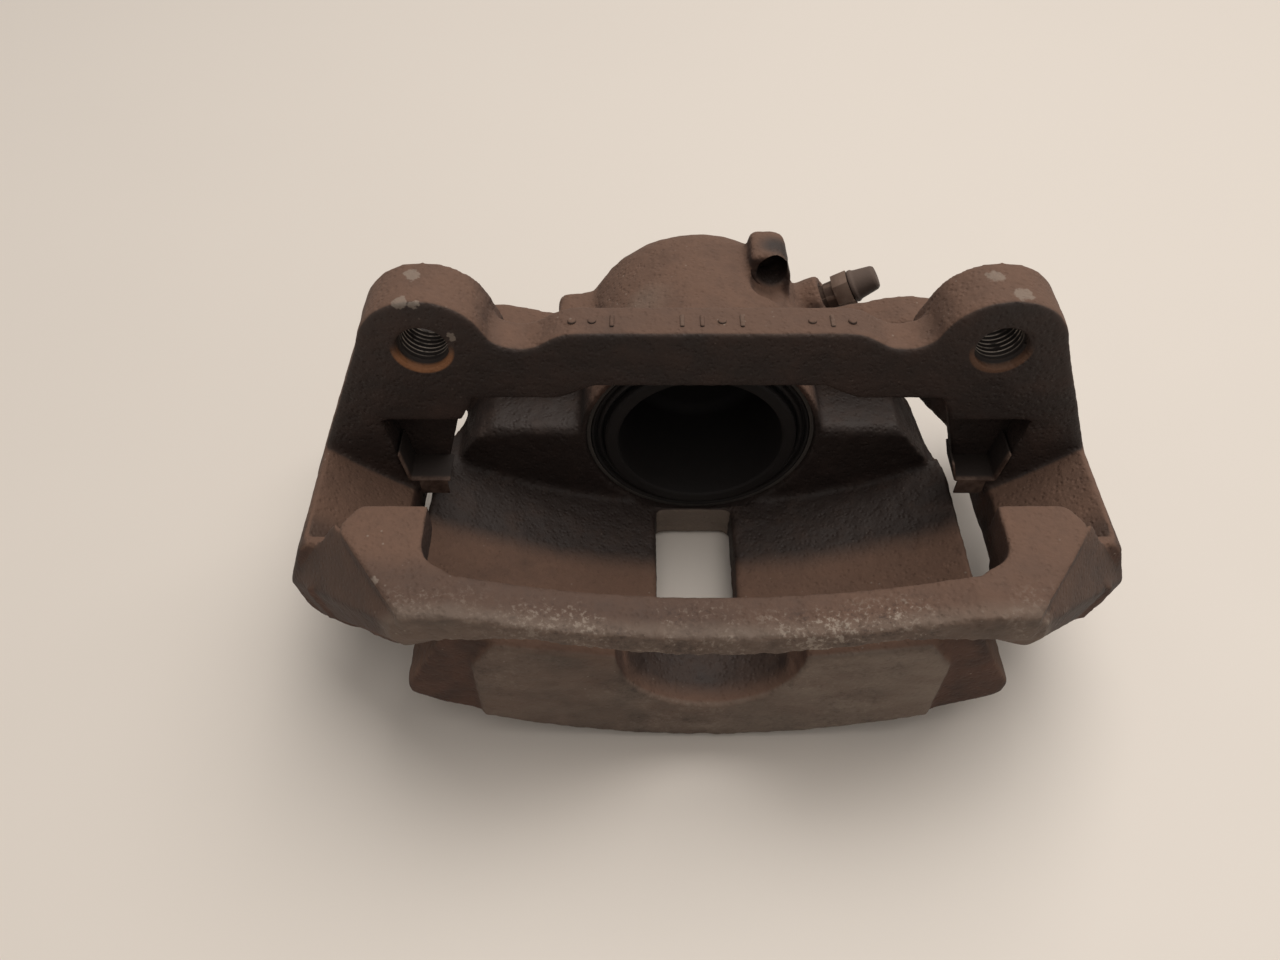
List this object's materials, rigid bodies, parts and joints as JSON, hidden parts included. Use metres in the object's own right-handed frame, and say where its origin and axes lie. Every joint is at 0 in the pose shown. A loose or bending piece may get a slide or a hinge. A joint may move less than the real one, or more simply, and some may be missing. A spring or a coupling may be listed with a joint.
{
  "type": "brake caliper",
  "caption": "Floating disc brake caliper in its cast anchor bracket, with piston, guide pins, dust boots, bleeder and abutment clips, no pads fitted.",
  "frame": {"origin": "midway between the two mounting-hole axes, on the bracket's inboard mounting face", "axes": "+X along the line of the two mounting holes, +Y inboard (the way the mounting bolts leave), +Z radially inwards towards the wheel's centre"},
  "size_m": [0.2236, 0.141, 0.1095],
  "materials": {
    "bracket_iron": "rusty sand-cast iron, worn black paint, road dust",
    "housing_iron": "sand-cast iron with baked-on brake dust",
    "piston_steel": "tarnished plated steel",
    "zinc_steel": "dull zinc plate",
    "bleeder_steel": "dusty phosphated steel",
    "spring_steel": "stained stainless sheet",
    "boot_rubber": "dusty moulded rubber",
    "seal_rubber": "smooth rubber",
    "cap_rubber": "dusty moulded rubber"
  },
  "bodies": {
    "bracket": {"bracket_beam": "bracket_iron", "bracket_ear_left": "bracket_iron", "bracket_ear_right": "bracket_iron", "bracket_arm_left": "bracket_iron", "bracket_arm_right": "bracket_iron", "bracket_post_left": "bracket_iron", "bracket_post_right": "bracket_iron", "bracket_tie_bar": "bracket_iron", "pad_clip_left": "spring_steel", "pad_clip_right": "spring_steel", "guide_boot_left": "boot_rubber", "guide_boot_right": "boot_rubber"},
    "housing": {"cylinder_block": "housing_iron", "housing_wing_left": "housing_iron", "housing_wing_right": "housing_iron", "bridge_left": "housing_iron", "bridge_right": "housing_iron", "bridge_front": "housing_iron", "bridge_rear": "housing_iron", "finger_left": "housing_iron", "finger_right": "housing_iron", "piston_seal": "seal_rubber", "boot_ring": "zinc_steel", "piston_boot": "boot_rubber", "guide_pin_left": "zinc_steel", "guide_pin_right": "zinc_steel", "guide_pin_bushing": "seal_rubber", "guide_bolt_left": "zinc_steel", "guide_bolt_right": "zinc_steel"},
    "piston": {"piston": "piston_steel"},
    "bleeder": {"bleeder_screw": "bleeder_steel"},
    "cap": {"bleeder_cap": "cap_rubber"}
  },
  "joints": [
    {"name": "housing_slide", "type": "slide", "parent": "bracket", "child": "housing", "axis": [0, 1, 0], "range_m": [-0.006, 0.012], "deforming": ["guide_boot_left", "guide_boot_right"]},
    {"name": "piston_slide", "type": "slide", "parent": "housing", "child": "piston", "axis": [0, -1, 0], "range_m": [0, 0.022], "deforming": ["piston_boot"]},
    {"name": "bleeder_turn", "type": "hinge", "parent": "housing", "child": "bleeder", "pos_m": [0.0433, 0.05, -0.037], "axis": [0.866, 0, 0.5], "range_deg": [0, 360]},
    {"name": "cap_pull", "type": "slide", "parent": "bleeder", "child": "cap", "axis": [0.866, 0, 0.5], "range_m": [0, 0.016]}
  ]
}
